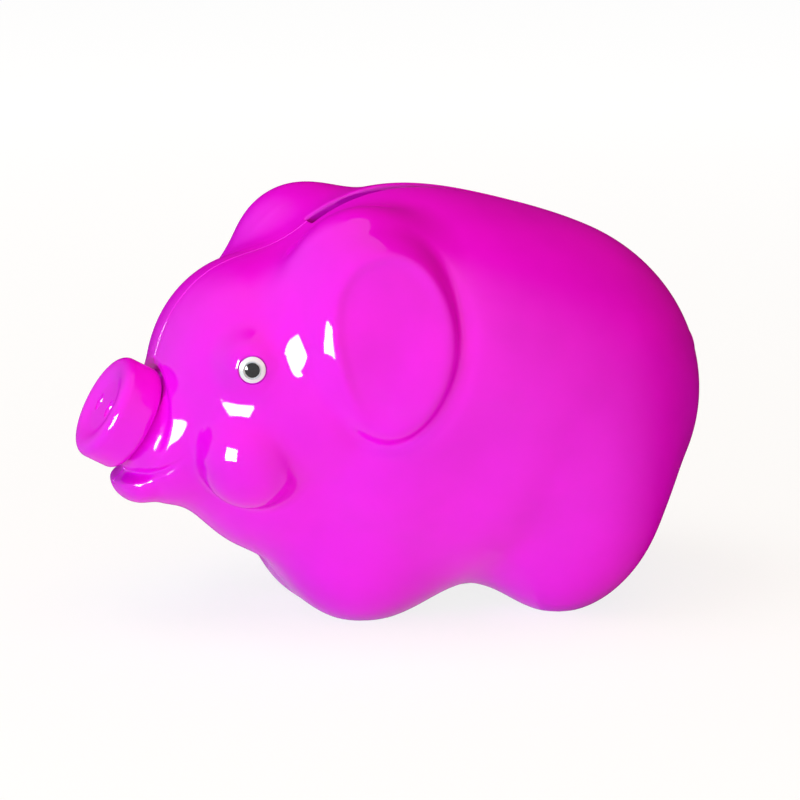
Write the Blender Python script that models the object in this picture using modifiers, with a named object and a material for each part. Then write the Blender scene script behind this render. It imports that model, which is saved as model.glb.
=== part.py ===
"""A small pig-shaped coin bank of glossy plastic, in two moulded half shells.

The pig looks along -X and +Z is up. Its left flank is on the -Y side.
The origin is on the surface that it stands on, in the middle of its plan. All lengths are in metres.
"""

import math

import bmesh
import bpy
import numpy as np
from mathutils import Matrix, Vector

# Skin: rounded lumps that melt into each other. Each has a centre, radii and the width of its blend.
# A lump whose centre is off the middle plane stands on both sides.
RUMP_AT = (0.0230, 0.0, 0.0400)
RUMP_RADII = (0.0378, 0.0370, 0.0348)
SHOULDER_AT = (-0.0010, 0.0, 0.0425)
SHOULDER_RADII = (0.0320, 0.0365, 0.0380)
SHOULDER_BLEND = 0.0160
HEAD_AT = (-0.0270, 0.0, 0.0445)
HEAD_RADII = (0.0216, 0.0262, 0.0250)
HEAD_BLEND = 0.0070
EAR_ROOT_AT = (-0.0120, 0.0160, 0.0640)
EAR_ROOT_RADII = (0.0136, 0.0120, 0.0152)
EAR_ROOT_BLEND = 0.0070
MUZZLE_AT = (-0.0435, 0.0, 0.0345)
MUZZLE_RADII = (0.0120, 0.0125, 0.0120)
MUZZLE_BLEND = 0.0060
CHIN_AT = (-0.0508, 0.0, 0.0279)
CHIN_RADII = (0.0056, 0.0084, 0.0045)
CHIN_BLEND = 0.0014
CHEST_AT = (-0.0195, 0.0, 0.0281)
CHEST_RADII = (0.0215, 0.0205, 0.0172)
CHEST_BLEND = 0.0050
CHEEK_AT = (-0.0350, 0.0184, 0.0346)
CHEEK_RADII = (0.0094, 0.0094, 0.0094)
CHEEK_BLEND = 0.0028
BROW_AT = (-0.0345, 0.0186, 0.0515)
BROW_RADII = (0.0066, 0.0072, 0.0064)
BROW_BLEND = 0.0022
FRONT_LEG_AT = (-0.0102, 0.0085, 0.0103)
FRONT_LEG_RADII = (0.0134, 0.0132, 0.0115)
FRONT_LEG_BLEND = 0.0095
REAR_LEG_AT = (0.0265, 0.0170, 0.0117)
REAR_LEG_RADII = (0.0121, 0.0110, 0.0125)
REAR_LEG_BLEND = 0.0080
HAUNCH_AT = (0.0313, 0.0205, 0.0260)
HAUNCH_RADII = (0.0150, 0.0150, 0.0215)
HAUNCH_BLEND = 0.0080

# Ear: an egg-shaped flap moulded flat on the flank, with a thick roll along its front and top edge.
EAR_AT = (-0.0130, 0.0, 0.0570)
EAR_HALF_WIDTH = 0.0124
EAR_HALF_HEIGHT = 0.0180
EAR_TURN = math.radians(3.0)
EAR_EGG_SHARE = 0.18
EAR_RISE = 0.0019
EAR_ROLL_RISE = 0.0009
EAR_ROLL_SHARE = 0.78
EAR_ROLL_WIDTH_SHARE = 0.22
EAR_ROLL_FACING = math.radians(50.0)
EAR_ROLL_START_SHARE = -0.6
EAR_ROLL_FULL_SHARE = 0.5
EAR_EDGE_POWER = 8
EAR_ROOT = 0.0012

# Hollow and parting of the shells.
WALL = 0.0022
SEAM_GAP = 0.0003
SEAT_GAP = 0.0003
OVERRUN = 0.0100
SPINE_FRONT = (-0.0350, 0.0, 0.0380)
SPINE_REAR = (0.0260, 0.0, 0.0400)

# Locating bosses at the parting, with a pin on the left and a socket on the right.
BOSS_ANGLES = (math.radians(28.0), math.radians(152.0), math.radians(205.0), math.radians(322.0))
BOSS_RADIUS = 0.0034
BOSS_DEPTH = 0.0080
BOSS_SINK_SHARE = 0.45
PIN_RADIUS = 0.0014
PIN_REACH = 0.0030
PIN_ROOT = 0.0020

# Coin slot along the crest.
SLOT_LENGTH = 0.0420
SLOT_WIDTH = 0.0046
SLOT_AT_X = 0.0040

# Snout drum with a spigot through the muzzle and a collar behind its wall.
SNOUT_TILT = math.radians(29.5)
SNOUT_RADIUS = 0.0101
SNOUT_LENGTH = 0.0078
SNOUT_SEAT_DEPTH = 0.0030
SNOUT_SEAT_MARGIN = 0.0010
SNOUT_ROUND = 0.0018
SNOUT_DISH = 0.0008
SNOUT_RIM = 0.0022
SPIGOT_RADIUS = 0.0046
SPIGOT_BORE = 0.0028
COLLAR_RADIUS = 0.0064
COLLAR_THICKNESS = 0.0014
NOSTRIL_APART = 0.0064
NOSTRIL_RADIUS = 0.0011
NOSTRIL_HEIGHT = 0.0034
NOSTRIL_DEPTH = 0.0016

# Eye: a white domed ring on a stem, with a black pupil pressed into it.
EYE_BEARING = math.radians(-108.0)
EYE_RISE = math.radians(8.0)
EYE_RADIUS = 0.0024
EYE_SEAT_DEPTH = 0.0011
EYE_DOME = 0.0004
EYE_EDGE = 0.0003
EYE_STEM_RADIUS = 0.0010
EYE_STEM_LENGTH = 0.0034
PUPIL_RADIUS = 0.0012
PUPIL_DOME = 0.0003
PUPIL_SINK = 0.0006

# Tail: a curl laid on the rump, with a peg into the parting.
TAIL_RISE = math.radians(9.0)
TAIL_ROD = 0.0009
TAIL_OUTER = 0.0045
TAIL_INNER = 0.0016
TAIL_TURNS = 1.3
TAIL_TAPER_SHARE = 0.55
TAIL_PEG_RADIUS = 0.0011
TAIL_PEG_LENGTH = 0.0036

# Belly stopper.
PLUG_AT_X = 0.0075
PLUG_HOLE_RADIUS = 0.0133
PLUG_FLANGE_RADIUS = 0.0150
PLUG_FLANGE = 0.0018
PLUG_NECK = 0.0062
PLUG_BEAD = 0.0004
PLUG_WALL = 0.0016
PLUG_GRIP_RADIUS = 0.0085
PLUG_GRIP_DEPTH = 0.0012
PLUG_GRIP_BAR = 0.0022
PLUG_SEAT = 0.0026
PLUG_SEAT_WIDTH = 0.0030

# Mesh counts.
SKIN_RINGS = 46
SKIN_SEGMENTS = 68
EAR_RINGS = 14
EAR_SEGMENTS = 28
RIM_CHECKS = 16
CAVITY_RINGS = 26
CAVITY_SEGMENTS = 40
TURN_STEPS = 36
SMALL_STEPS = 20
MARCH_STEPS = 60
HALVINGS = 22
ROUND_STEPS = 4
DOME_STEPS = 5
TAIL_STEPS_PER_TURN = 14

# Shares of other sizes: how far rays start out, how near a slope is read, where turned ends merge,
# and how far along Y an axis leans before its level direction is taken from X.
REACH_SHARE = 2.2
NEAR_SHARE = 0.02
MERGE_SHARE = 0.004
TAPER_POWER = 3
SIDEWAYS_SHARE = 0.9

PINK = (0.880, 0.004, 0.800, 1.0)
WHITE = (0.900, 0.900, 0.900, 1.0)
BLACK = (0.010, 0.010, 0.012, 1.0)
PALE = (0.780, 0.760, 0.740, 1.0)


def lump(field_so_far, points, centre, radii, blend):
    """Melts an ellipsoid, and its mirror image if it is off the middle plane, into the field."""
    for side in (-1.0, 1.0) if centre[1] else (1.0,):
        offset = points - np.array((centre[0], centre[1] * side, centre[2]))
        near = np.linalg.norm(offset / np.array(radii), axis=-1)
        slope = np.linalg.norm(offset / np.array(radii) ** 2, axis=-1)
        distance = near * (near - 1.0) / np.maximum(slope, 1e-9)
        field_so_far = distance if field_so_far is None else melt(field_so_far, distance, blend)
    return field_so_far


def melt(first, second, width):
    """Union of two fields with a rounded valley of the given width."""
    mix = np.clip(0.5 + 0.5 * (first - second) / width, 0.0, 1.0)
    return first * (1.0 - mix) + second * mix - width * mix * (1.0 - mix)


def ramp(start, end, value):
    """0 at the start and 1 at the end, with a soft change between."""
    share = np.clip((value - start) / (end - start), 0.0, 1.0)
    return share * share * (3.0 - 2.0 * share)


def trunk(points):
    """Distance outside the body, head and legs, which are hollow."""
    field = lump(None, points, RUMP_AT, RUMP_RADII, 0.0)
    field = lump(field, points, SHOULDER_AT, SHOULDER_RADII, SHOULDER_BLEND)
    field = lump(field, points, HEAD_AT, HEAD_RADII, HEAD_BLEND)
    field = lump(field, points, EAR_ROOT_AT, EAR_ROOT_RADII, EAR_ROOT_BLEND)
    field = lump(field, points, MUZZLE_AT, MUZZLE_RADII, MUZZLE_BLEND)
    field = lump(field, points, CHEST_AT, CHEST_RADII, CHEST_BLEND)
    field = lump(field, points, FRONT_LEG_AT, FRONT_LEG_RADII, FRONT_LEG_BLEND)
    field = lump(field, points, REAR_LEG_AT, REAR_LEG_RADII, REAR_LEG_BLEND)
    return lump(field, points, HAUNCH_AT, HAUNCH_RADII, HAUNCH_BLEND)


def skin(points):
    """Distance outside the pig without its ears."""
    field = trunk(points)
    field = lump(field, points, CHIN_AT, CHIN_RADII, CHIN_BLEND)
    field = lump(field, points, CHEEK_AT, CHEEK_RADII, CHEEK_BLEND)
    return lump(field, points, BROW_AT, BROW_RADII, BROW_BLEND)


def hollow(points):
    """Distance outside the coin space, one wall inside the trunk."""
    return trunk(points) + WALL


def cast(starts, directions, field):
    """Outermost point of the field's surface along each ray from inside."""
    starts = np.broadcast_to(starts, directions.shape)
    reach = REACH_SHARE * max(RUMP_RADII[0], SHOULDER_RADII[2])
    steps = np.linspace(reach, 0.0, MARCH_STEPS)
    inner = np.zeros(len(directions))
    outer = np.full(len(directions), reach)
    found = np.zeros(len(directions), bool)
    for last, step in zip(steps, steps[1:]):
        new = ~found & (field(starts + directions * step) < 0.0)
        inner[new] = step
        outer[new] = last
        found |= new
    for _ in range(HALVINGS):
        middle = (inner + outer) / 2.0
        inside = field(starts + directions * middle[:, None]) < 0.0
        inner = np.where(inside, middle, inner)
        outer = np.where(inside, outer, middle)
    return starts + directions * ((inner + outer) / 2.0)[:, None]


def touch(start, direction, field):
    """Point of the surface along one ray, as a Vector."""
    heading = np.array([tuple(Vector(direction).normalized())])
    return Vector(cast(np.array([tuple(start)]), heading, field)[0])


def normals(points, field):
    """Directions out of the field's surface at some points."""
    shift = np.eye(3) * WALL * NEAR_SHARE
    slope = np.stack([field(points + row) - field(points - row) for row in shift], axis=-1)
    return slope / np.linalg.norm(slope, axis=-1, keepdims=True)


def collection(name):
    made = bpy.data.collections.new(name)
    bpy.context.scene.collection.children.link(made)
    return made


def material(name, colour, roughness):
    made = bpy.data.materials.new(name)
    made.use_nodes = True
    shader = made.node_tree.nodes["Principled BSDF"]
    shader.inputs["Base Color"].default_value = colour
    shader.inputs["Roughness"].default_value = roughness
    shader.inputs["Metallic"].default_value = 0.0
    made.diffuse_color = colour
    return made


def add_object(name, mesh, group, surface=None):
    made = bpy.data.objects.new(name, mesh)
    group.objects.link(made)
    if surface is None:
        made.hide_render = True
        made.display_type = "WIRE"
    else:
        made.data.materials.append(surface)
    return made


def finish_mesh(bm, name):
    mesh = bpy.data.meshes.new(name)
    bm.to_mesh(mesh)
    bm.free()
    return mesh


def skin_mesh(name, field, rings, segments, floor=None):
    """Ball with its poles on X, each corner moved out or in to the surface of the field."""
    bm = bmesh.new()
    half_step = Matrix.Rotation(math.pi / segments, 4, "X")
    poles_on_x = Matrix.Rotation(math.pi / 2.0, 4, "Y")
    bmesh.ops.create_uvsphere(
        bm, u_segments=segments, v_segments=rings, radius=1.0, matrix=half_step @ poles_on_x
    )
    directions = np.array([tuple(corner.co.normalized()) for corner in bm.verts])
    share = (directions[:, :1] + 1.0) / 2.0
    starts = np.array(SPINE_FRONT) * (1.0 - share) + np.array(SPINE_REAR) * share
    points = cast(starts, directions, field)
    if floor is not None:
        points[:, 2] = np.maximum(points[:, 2], floor)
    for corner, point in zip(bm.verts, points):
        corner.co = point
    bmesh.ops.triangulate(bm, faces=bm.faces)
    return finish_mesh(bm, name)


def box(name, low, high, group):
    bm = bmesh.new()
    bmesh.ops.create_cube(bm, size=1.0)
    size = Vector(high) - Vector(low)
    middle = (Vector(high) + Vector(low)) / 2.0
    for corner in bm.verts:
        corner.co = Vector(a * b for a, b in zip(corner.co, size)) + middle
    return add_object(name, finish_mesh(bm, name), group)


def rod(name, start, end, radius, group, steps=SMALL_STEPS):
    """Round bar between two points."""
    bm = bmesh.new()
    along = Vector(end) - Vector(start)
    place = Matrix.Translation((Vector(start) + Vector(end)) / 2.0) @ frame_on(along)
    bmesh.ops.create_cone(
        bm, cap_ends=True, segments=steps, radius1=radius, radius2=radius, depth=along.length, matrix=place
    )
    return add_object(name, finish_mesh(bm, name), group)


def frame_on(axis):
    """Rotation that takes +Z to the axis and keeps local Y level."""
    z = Vector(axis).normalized()
    reference = Vector((0.0, 1.0, 0.0)) if abs(z.y) < SIDEWAYS_SHARE else Vector((1.0, 0.0, 0.0))
    x = reference.cross(z).normalized()
    y = z.cross(x)
    return Matrix((x, y, z)).transposed().to_4x4()


def turned(name, profile, place, group, surface=None, steps=TURN_STEPS):
    """Profile of (radius, height) corners, turned about its own Z axis by a Screw modifier."""
    bm = bmesh.new()
    corners = [bm.verts.new((radius, 0.0, height)) for radius, height in profile]
    for first, second in zip(corners, corners[1:]):
        bm.edges.new((first, second))
    made = add_object(name, finish_mesh(bm, name), group, surface)
    made.matrix_world = place
    screw = made.modifiers.new("Turn", "SCREW")
    screw.axis = "Z"
    screw.steps = steps
    screw.render_steps = steps
    screw.use_merge_vertices = True
    screw.merge_threshold = WALL * MERGE_SHARE
    screw.use_smooth_shade = True
    return made


def combine(target, tool, operation):
    step = target.modifiers.new(tool.name, "BOOLEAN")
    step.operation = operation
    step.solver = "EXACT"
    step.object = tool


def bosses():
    """Places of the locating bosses, as points of the middle plane half sunk in the wall."""
    centre = Vector(((RUMP_AT[0] + HEAD_AT[0]) / 2.0, 0.0, SHOULDER_AT[2]))
    places = []
    for angle in BOSS_ANGLES:
        out = Vector((math.cos(angle), 0.0, math.sin(angle)))
        wall = touch(centre, out, hollow)
        places.append(wall - out * BOSS_RADIUS * (1.0 - BOSS_SINK_SHARE))
    return places


def snout_frame():
    """Frame on the flat seat cut into the muzzle, with +Z out along the snout."""
    axis = Vector((-math.cos(SNOUT_TILT), 0.0, math.sin(SNOUT_TILT)))
    tip = touch(MUZZLE_AT, axis, trunk)
    return Matrix.Translation(tip - axis * SNOUT_SEAT_DEPTH) @ frame_on(axis)


def eye_frame(side):
    """Frame on the flat seat of an eye, with +Z out of the brow."""
    level = math.cos(EYE_RISE)
    axis = Vector((math.cos(EYE_BEARING) * level, -side * math.sin(EYE_BEARING) * level, math.sin(EYE_RISE)))
    top = touch((BROW_AT[0], side * BROW_AT[1], BROW_AT[2]), axis, skin)
    return Matrix.Translation(top - axis * EYE_SEAT_DEPTH) @ frame_on(axis)


def tail_frame():
    """Frame on the rump where the tail is rooted, with +Z out of the body."""
    axis = Vector((math.cos(TAIL_RISE), 0.0, math.sin(TAIL_RISE)))
    return Matrix.Translation(touch(RUMP_AT, axis, trunk)) @ frame_on(axis)


def plug_face():
    """Height of the stopper's outer face: no part of its rim stands out of the belly."""
    heights = []
    for step in range(RIM_CHECKS):
        angle = 2.0 * math.pi * step / RIM_CHECKS
        over = (
            PLUG_AT_X + PLUG_FLANGE_RADIUS * math.cos(angle),
            PLUG_FLANGE_RADIUS * math.sin(angle),
            SHOULDER_AT[2],
        )
        heights.append(touch(over, (0.0, 0.0, -1.0), trunk).z)
    return max(heights)


def cut_cavity(cutters):
    """Cutter for the coin space, which stops short of the bosses, the snout seat and the stopper seat."""
    cavity = add_object(
        "cavity", skin_mesh("cavity", hollow, CAVITY_RINGS, CAVITY_SEGMENTS, floor=WALL), cutters
    )
    for count, place in enumerate(bosses(), 1):
        across = Vector((0.0, BOSS_DEPTH, 0.0))
        boss = rod(f"boss_{count}", place - across, place + across, BOSS_RADIUS, cutters)
        combine(cavity, boss, "DIFFERENCE")
    seat = snout_frame()
    back = seat @ Vector((0.0, 0.0, -WALL))
    front = seat @ Vector((0.0, 0.0, OVERRUN))
    stop = rod("muzzle_stop", back, front, SNOUT_RADIUS + OVERRUN, cutters, TURN_STEPS)
    combine(cavity, stop, "DIFFERENCE")
    ring_top = plug_face() + PLUG_FLANGE + SEAT_GAP + PLUG_SEAT
    ring = rod(
        "belly_ring",
        (PLUG_AT_X, 0.0, -OVERRUN),
        (PLUG_AT_X, 0.0, ring_top),
        PLUG_FLANGE_RADIUS + SEAT_GAP + PLUG_SEAT_WIDTH,
        cutters,
        TURN_STEPS,
    )
    combine(cavity, ring, "DIFFERENCE")
    return cavity


def shell_cutters(cutters):
    """Cutters that both shells share: coin slot, snout seat, stopper seat and tail hole."""
    tools = []
    top = SHOULDER_AT[2] + SHOULDER_RADII[2] + OVERRUN
    half = SLOT_WIDTH / 2.0
    low = (SLOT_AT_X - SLOT_LENGTH / 2.0, -half, SHOULDER_AT[2])
    high = (SLOT_AT_X + SLOT_LENGTH / 2.0, half, top)
    tools.append(box("slot_cut", low, high, cutters))
    seat = snout_frame()
    far = SNOUT_LENGTH + OVERRUN
    wide = SNOUT_RADIUS + SNOUT_SEAT_MARGIN
    bore = SPIGOT_RADIUS + SEAT_GAP
    pocket = COLLAR_RADIUS + SEAT_GAP
    deep = -(WALL + 2.0 * SEAT_GAP + 2.0 * COLLAR_THICKNESS)
    profile = ((0.0, far), (wide, far), (wide, 0.0), (bore, 0.0), (bore, -WALL))
    profile += ((pocket, -WALL), (pocket, deep), (0.0, deep))
    tools.append(turned("snout_cut", profile, seat, cutters))
    place = Matrix.Translation((PLUG_AT_X, 0.0, plug_face()))
    step = PLUG_FLANGE + SEAT_GAP
    roof = step + PLUG_NECK + OVERRUN
    rim = PLUG_FLANGE_RADIUS + SEAT_GAP
    down = -plug_face() - OVERRUN
    profile = ((0.0, roof), (PLUG_HOLE_RADIUS, roof), (PLUG_HOLE_RADIUS, step))
    profile += ((rim, step), (rim, down), (0.0, down))
    tools.append(turned("plug_cut", profile, place, cutters))
    root = tail_frame()
    inside = root @ Vector((0.0, 0.0, -TAIL_PEG_LENGTH - OVERRUN))
    outside = root @ Vector((0.0, 0.0, OVERRUN))
    tools.append(rod("tail_cut", inside, outside, TAIL_PEG_RADIUS + SEAT_GAP, cutters))
    return tools


def eye_cut(side, cutters):
    rim = EYE_RADIUS + SEAT_GAP
    stem = EYE_STEM_RADIUS + SEAT_GAP
    deep = -EYE_STEM_LENGTH - SEAT_GAP
    high = EYE_SEAT_DEPTH + EYE_RADIUS
    profile = ((0.0, high), (rim, high), (rim, 0.0), (stem, 0.0), (stem, deep), (0.0, deep))
    word = "left" if side < 0.0 else "right"
    return turned(f"eye_cut_{word}", profile, eye_frame(side), cutters, steps=SMALL_STEPS)


def ear_solid(side, cutters):
    """Ball flattened on the flank: its outer half is the ear, and its inner half is sunk in the wall."""
    bm = bmesh.new()
    poles_on_y = Matrix.Rotation(math.pi / 2.0, 4, "X")
    bmesh.ops.create_uvsphere(
        bm, u_segments=EAR_SEGMENTS, v_segments=EAR_RINGS, radius=1.0, matrix=poles_on_y
    )
    ball = np.array([tuple(corner.co) for corner in bm.verts])
    share = np.minimum(1.0, np.hypot(ball[:, 0], ball[:, 2]))
    turn = np.arctan2(ball[:, 2], ball[:, 0])
    v = share * EAR_HALF_HEIGHT * np.sin(turn)
    u = share * EAR_HALF_WIDTH * np.cos(turn) * (1.0 + EAR_EGG_SHARE * share * np.sin(turn))
    starts = np.zeros(ball.shape)
    starts[:, 0] = EAR_AT[0] + u * math.cos(EAR_TURN) + v * math.sin(EAR_TURN)
    starts[:, 2] = EAR_AT[2] - u * math.sin(EAR_TURN) + v * math.cos(EAR_TURN)
    base = cast(starts, np.zeros(ball.shape) + (0.0, side, 0.0), trunk)
    facing = ramp(EAR_ROLL_START_SHARE, EAR_ROLL_FULL_SHARE, np.cos(math.pi - turn - EAR_ROLL_FACING))
    ridge = np.exp(-(((share - EAR_ROLL_SHARE) / EAR_ROLL_WIDTH_SHARE) ** 2))
    rise = np.where(ball[:, 1] * side > 0.0, EAR_RISE + EAR_ROLL_RISE * facing * ridge, -EAR_ROOT)
    rise *= np.sqrt(1.0 - share ** EAR_EDGE_POWER)
    for corner, point in zip(bm.verts, base + normals(base, trunk) * rise[:, None]):
        corner.co = point
    bmesh.ops.triangulate(bm, faces=bm.faces)
    bmesh.ops.recalc_face_normals(bm, faces=bm.faces)
    word = "left" if side < 0.0 else "right"
    return add_object(f"ear_{word}", finish_mesh(bm, f"ear_{word}"), cutters)


def build_shells(parts, cutters, surface):
    """Two half shells, each with half of the slot, of the snout seat and of the stopper seat."""
    cavity = cut_cavity(cutters)
    shared = shell_cutters(cutters)
    outer = skin_mesh("skin", skin, SKIN_RINGS, SKIN_SEGMENTS)
    reach = 2.0 * (RUMP_RADII[0] + SHOULDER_RADII[0])
    for word, side in (("left", -1.0), ("right", 1.0)):
        shell = add_object(f"shell_{word}", outer.copy(), parts, surface)
        near, far = sorted((side * SEAM_GAP / 2.0, side * reach))
        half = box(f"half_{word}", (-reach, near, 0.0), (reach, far, reach), cutters)
        combine(shell, half, "INTERSECT")
        combine(shell, ear_solid(side, cutters), "UNION")
        combine(shell, cavity, "DIFFERENCE")
        for tool in shared:
            combine(shell, tool, "DIFFERENCE")
        combine(shell, eye_cut(side, cutters), "DIFFERENCE")
        for count, place in enumerate(bosses(), 1):
            if side < 0.0:
                start = place - Vector((0.0, PIN_ROOT, 0.0))
                pin = rod(f"pin_{count}", start, place + Vector((0.0, PIN_REACH, 0.0)), PIN_RADIUS, cutters)
                combine(shell, pin, "UNION")
            else:
                end = place + Vector((0.0, PIN_REACH + SEAT_GAP, 0.0))
                start = place - Vector((0.0, PIN_ROOT, 0.0))
                socket = rod(f"socket_{count}", start, end, PIN_RADIUS + SEAT_GAP, cutters)
                combine(shell, socket, "DIFFERENCE")


def build_snout(parts, cutters, surface):
    """Drum with a dished face and two nostrils, held by a collar behind the muzzle wall."""
    face = SNOUT_LENGTH
    dish = SNOUT_LENGTH - SNOUT_DISH
    inner = SNOUT_RADIUS - SNOUT_RIM
    back = -WALL - 2.0 * SEAT_GAP
    profile = [(0.0, dish), (inner - SNOUT_DISH, dish), (inner, face)]
    profile += corner_round(SNOUT_RADIUS, face, SNOUT_ROUND)
    profile += [(SNOUT_RADIUS, SNOUT_ROUND), (SNOUT_RADIUS - SNOUT_ROUND / 2.0, 0.0), (SPIGOT_RADIUS, 0.0)]
    profile += [(SPIGOT_RADIUS, back), (COLLAR_RADIUS, back), (COLLAR_RADIUS, back - COLLAR_THICKNESS)]
    profile += [(SPIGOT_BORE, back - COLLAR_THICKNESS), (SPIGOT_BORE, dish - NOSTRIL_DEPTH - WALL)]
    profile += [(0.0, dish - NOSTRIL_DEPTH - WALL)]
    seat = snout_frame() @ Matrix.Translation((0.0, 0.0, SEAT_GAP))
    snout = turned("snout_cap", profile, seat, parts, surface)
    for word, side in (("left", -1.0), ("right", 1.0)):
        combine(snout, nostril(word, side, seat, cutters), "DIFFERENCE")
    return snout


def corner_round(radius, height, size):
    """Quarter round from a flat top out to an upright side."""
    points = []
    for step in range(ROUND_STEPS + 1):
        angle = math.pi / 2.0 * (1.0 - step / ROUND_STEPS)
        points.append((radius - size + size * math.cos(angle), height - size + size * math.sin(angle)))
    return points


def nostril(word, side, seat, cutters):
    """Oval blind hole, a round bar stretched along the face."""
    bm = bmesh.new()
    depth = 2.0 * NOSTRIL_DEPTH
    stretch = Matrix.Diagonal((NOSTRIL_HEIGHT / (2.0 * NOSTRIL_RADIUS), 1.0, 1.0, 1.0))
    place = Matrix.Translation((0.0, side * NOSTRIL_APART / 2.0, SNOUT_LENGTH - SNOUT_DISH))
    bmesh.ops.create_cone(
        bm,
        cap_ends=True,
        segments=SMALL_STEPS,
        radius1=NOSTRIL_RADIUS,
        radius2=NOSTRIL_RADIUS,
        depth=depth,
        matrix=place @ stretch,
    )
    made = add_object(f"nostril_{word}", finish_mesh(bm, f"nostril_{word}"), cutters)
    made.matrix_world = seat
    return made


def dome(radius, edge, height, start=0.0):
    """Corners of a shallow dome from the start radius out to the edge."""
    points = []
    for step in range(DOME_STEPS + 1):
        r = start + (radius - start) * step / DOME_STEPS
        points.append((r, edge + height * math.cos(math.pi / 2.0 * r / radius)))
    return points


def build_eye(side, parts, white, black):
    """White ring on a stem and the pupil in it, both on the same axis."""
    word = "left" if side < 0.0 else "right"
    seat = eye_frame(side) @ Matrix.Translation((0.0, 0.0, SEAT_GAP))
    crown = EYE_SEAT_DEPTH - SEAT_GAP + EYE_DOME - EYE_EDGE
    bore = PUPIL_RADIUS + SEAT_GAP
    floor = crown - PUPIL_SINK
    profile = [(0.0, floor), (bore, floor)]
    profile += dome(EYE_RADIUS, EYE_EDGE, crown, bore)
    profile += [(EYE_RADIUS, 0.0), (EYE_STEM_RADIUS, 0.0), (EYE_STEM_RADIUS, -EYE_STEM_LENGTH + SEAT_GAP)]
    profile += [(0.0, -EYE_STEM_LENGTH + SEAT_GAP)]
    turned(f"eye_white_{word}", profile, seat, parts, white, SMALL_STEPS)
    base = floor + SEAT_GAP
    rim = EYE_EDGE + crown * math.cos(math.pi / 2.0 * bore / EYE_RADIUS)
    pupil = dome(PUPIL_RADIUS, rim, PUPIL_DOME) + [(PUPIL_RADIUS, base), (0.0, base)]
    turned(f"eye_pupil_{word}", pupil, seat, parts, black, SMALL_STEPS)


def build_tail(parts, cutters, surface):
    """Curl of round rod laid along the rump, ending over a peg on the parting."""
    root = tail_frame()
    count = int(TAIL_TURNS * TAIL_STEPS_PER_TURN)
    curve = bpy.data.curves.new("tail_curl", "CURVE")
    curve.dimensions = "3D"
    curve.bevel_depth = TAIL_ROD
    curve.bevel_resolution = 2
    curve.use_fill_caps = True
    spline = curve.splines.new("POLY")
    spline.points.add(count)
    share = np.linspace(0.0, 1.0, count + 1)
    angle = 2.0 * math.pi * TAIL_TURNS * share
    radius = TAIL_INNER + (TAIL_OUTER - TAIL_INNER) * share
    flat = np.stack((radius * np.sin(angle), radius * np.cos(angle), 0.0 * share), axis=-1)
    flat = flat @ np.array(root.to_3x3()).T + np.array(root.translation)
    out = flat - np.array(RUMP_AT)
    out /= np.linalg.norm(out, axis=-1, keepdims=True)
    route = cast(np.array(RUMP_AT), out, trunk) + out * (TAIL_ROD + SEAT_GAP)
    for point, place, along in zip(spline.points, route, share):
        point.co = (*place, 1.0)
        point.radius = 1.0 - TAIL_TAPER_SHARE * along ** TAPER_POWER
    bent = bpy.data.objects.new("tail_curl", curve)
    cutters.objects.link(bent)
    bpy.context.view_layer.update()
    seen = bent.evaluated_get(bpy.context.evaluated_depsgraph_get())
    mesh = bpy.data.meshes.new_from_object(seen)
    bpy.data.objects.remove(bent)
    bm = bmesh.new()
    bm.from_mesh(mesh)
    bmesh.ops.remove_doubles(bm, verts=bm.verts, dist=TAIL_ROD * MERGE_SHARE)
    bm.to_mesh(mesh)
    bm.free()
    mesh.materials.clear()
    tail = add_object("tail", mesh, parts, surface)
    end = root @ Vector((0.0, 0.0, TAIL_ROD + SEAT_GAP))
    start = root @ Vector((0.0, 0.0, -TAIL_PEG_LENGTH))
    combine(tail, rod("tail_peg", start, end, TAIL_PEG_RADIUS, cutters), "UNION")
    hub = root @ Vector((0.0, TAIL_INNER, TAIL_ROD + SEAT_GAP))
    combine(tail, rod("tail_hub", end, hub, TAIL_ROD, cutters), "UNION")
    return tail


def build_plug(parts, cutters, surface):
    """Soft stopper, a cup with a flange that sits flush in the belly and a bar across its grip."""
    hole = PLUG_HOLE_RADIUS - SEAT_GAP
    neck = hole - PLUG_BEAD
    top = PLUG_FLANGE + PLUG_NECK
    floor = PLUG_GRIP_DEPTH + PLUG_WALL
    inside = neck - PLUG_WALL
    bead_low = top - 3.0 * PLUG_BEAD
    profile = [(0.0, floor), (inside, floor), (inside, top), (neck, top), (hole, top - PLUG_BEAD)]
    profile += [(hole, bead_low), (neck, bead_low - PLUG_BEAD), (neck, PLUG_FLANGE)]
    profile += [(PLUG_FLANGE_RADIUS, PLUG_FLANGE), (PLUG_FLANGE_RADIUS, PLUG_BEAD)]
    profile += [(PLUG_FLANGE_RADIUS - PLUG_BEAD, 0.0), (PLUG_GRIP_RADIUS, 0.0)]
    profile += [(PLUG_GRIP_RADIUS - PLUG_BEAD, PLUG_GRIP_DEPTH), (0.0, PLUG_GRIP_DEPTH)]
    place = Matrix.Translation((PLUG_AT_X, 0.0, plug_face()))
    plug = turned("belly_plug", profile, place, parts, surface)
    half = PLUG_GRIP_BAR / 2.0
    long = PLUG_GRIP_RADIUS + PLUG_BEAD
    bar = box("plug_bar", (-half, -long, PLUG_BEAD), (half, long, floor - PLUG_BEAD), cutters)
    bar.matrix_world = place
    combine(plug, bar, "UNION")
    return plug


def main():
    for old in list(bpy.data.objects):
        bpy.data.objects.remove(old, do_unlink=True)
    parts = collection("pig_coin_bank")
    cutters = collection("cutters")
    build_shells(parts, cutters, material("magenta_plastic", PINK, 0.15))
    build_snout(parts, cutters, material("magenta_snout", PINK, 0.15))
    white = material("white_plastic", WHITE, 0.2)
    black = material("black_plastic", BLACK, 0.1)
    for side in (-1.0, 1.0):
        build_eye(side, parts, white, black)
    build_tail(parts, cutters, material("magenta_tail", PINK, 0.15))
    build_plug(parts, cutters, material("soft_vinyl", PALE, 0.5))
    bpy.context.view_layer.update()


main()
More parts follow.
